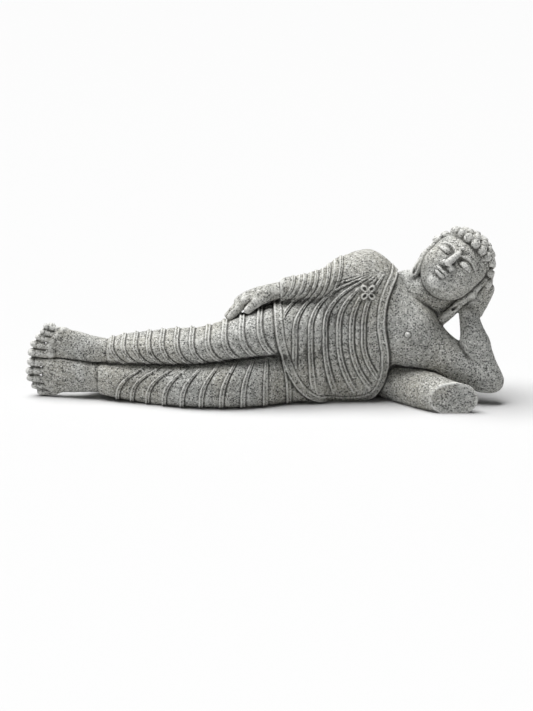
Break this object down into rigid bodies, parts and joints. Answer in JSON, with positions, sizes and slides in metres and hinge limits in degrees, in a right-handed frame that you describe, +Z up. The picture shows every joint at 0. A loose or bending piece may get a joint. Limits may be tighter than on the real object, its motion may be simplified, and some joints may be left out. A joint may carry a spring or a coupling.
{
  "type": "reclining buddha statue",
  "caption": "Stone Buddha reclining on the right side in a ribbed robe, head resting on one hand, the arm supported by a round bolster.",
  "frame": {"origin": "middle of the bounding box, on the ground under the statue", "axes": "+X from the feet to the head, -Y towards the carved front, +Z up"},
  "size_m": [0.9521, 0.2538, 0.349],
  "materials": {
    "granite": "rough grey speckled granite, chiselled and unpolished"
  },
  "bodies": {
    "root": {"reclining_buddha": "granite"}
  },
  "joints": []
}
